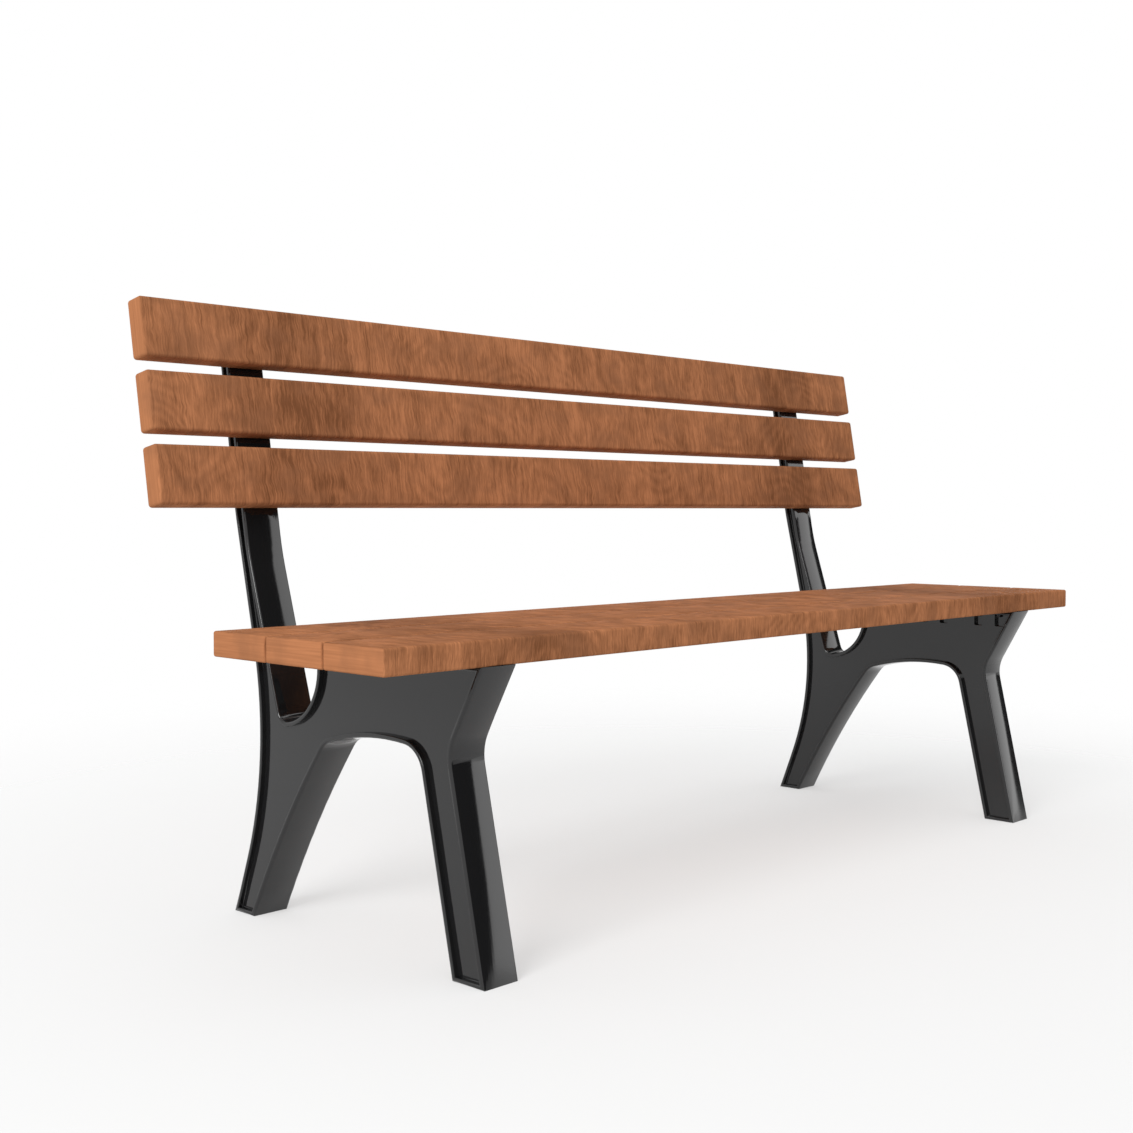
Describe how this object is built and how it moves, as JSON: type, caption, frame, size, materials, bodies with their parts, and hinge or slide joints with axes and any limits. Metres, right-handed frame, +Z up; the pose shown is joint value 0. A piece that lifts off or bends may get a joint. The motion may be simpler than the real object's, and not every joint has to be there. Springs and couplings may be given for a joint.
{
  "type": "garden bench",
  "caption": "Garden bench with a plank seat and a tilted slat back carried on cast end frames with raked legs, an arch and a recessed web.",
  "frame": {"origin": "on the ground, in the middle of the four anchor sockets under the feet", "axes": "+Z up, X along the bench, -Y the side that the sitter faces"},
  "size_m": [1.8, 0.5964, 0.9141],
  "materials": {
    "black_casting": "gloss black paint on a casting",
    "stained_wood": "warm brown stained hardwood, satin",
    "black_steel": "black-plated steel screws and washers"
  },
  "bodies": {
    "root": {"left_end_frame": "black_casting", "right_end_frame": "black_casting", "front_seat_plank": "stained_wood", "middle_seat_plank": "stained_wood", "rear_seat_plank": "stained_wood", "bottom_back_slat": "stained_wood", "middle_back_slat": "stained_wood", "top_back_slat": "stained_wood", "left_front_seat_screws": "black_steel", "left_front_seat_washers": "black_steel", "left_middle_seat_screws": "black_steel", "left_middle_seat_washers": "black_steel", "left_rear_seat_screws": "black_steel", "left_rear_seat_washers": "black_steel", "left_bottom_back_screws": "black_steel", "left_bottom_back_washers": "black_steel", "left_middle_back_screws": "black_steel", "left_middle_back_washers": "black_steel", "left_top_back_screws": "black_steel", "left_top_back_washers": "black_steel", "right_front_seat_screws": "black_steel", "right_front_seat_washers": "black_steel", "right_middle_seat_screws": "black_steel", "right_middle_seat_washers": "black_steel", "right_rear_seat_screws": "black_steel", "right_rear_seat_washers": "black_steel", "right_bottom_back_screws": "black_steel", "right_bottom_back_washers": "black_steel", "right_middle_back_screws": "black_steel", "right_middle_back_washers": "black_steel", "right_top_back_screws": "black_steel", "right_top_back_washers": "black_steel"}
  },
  "joints": []
}
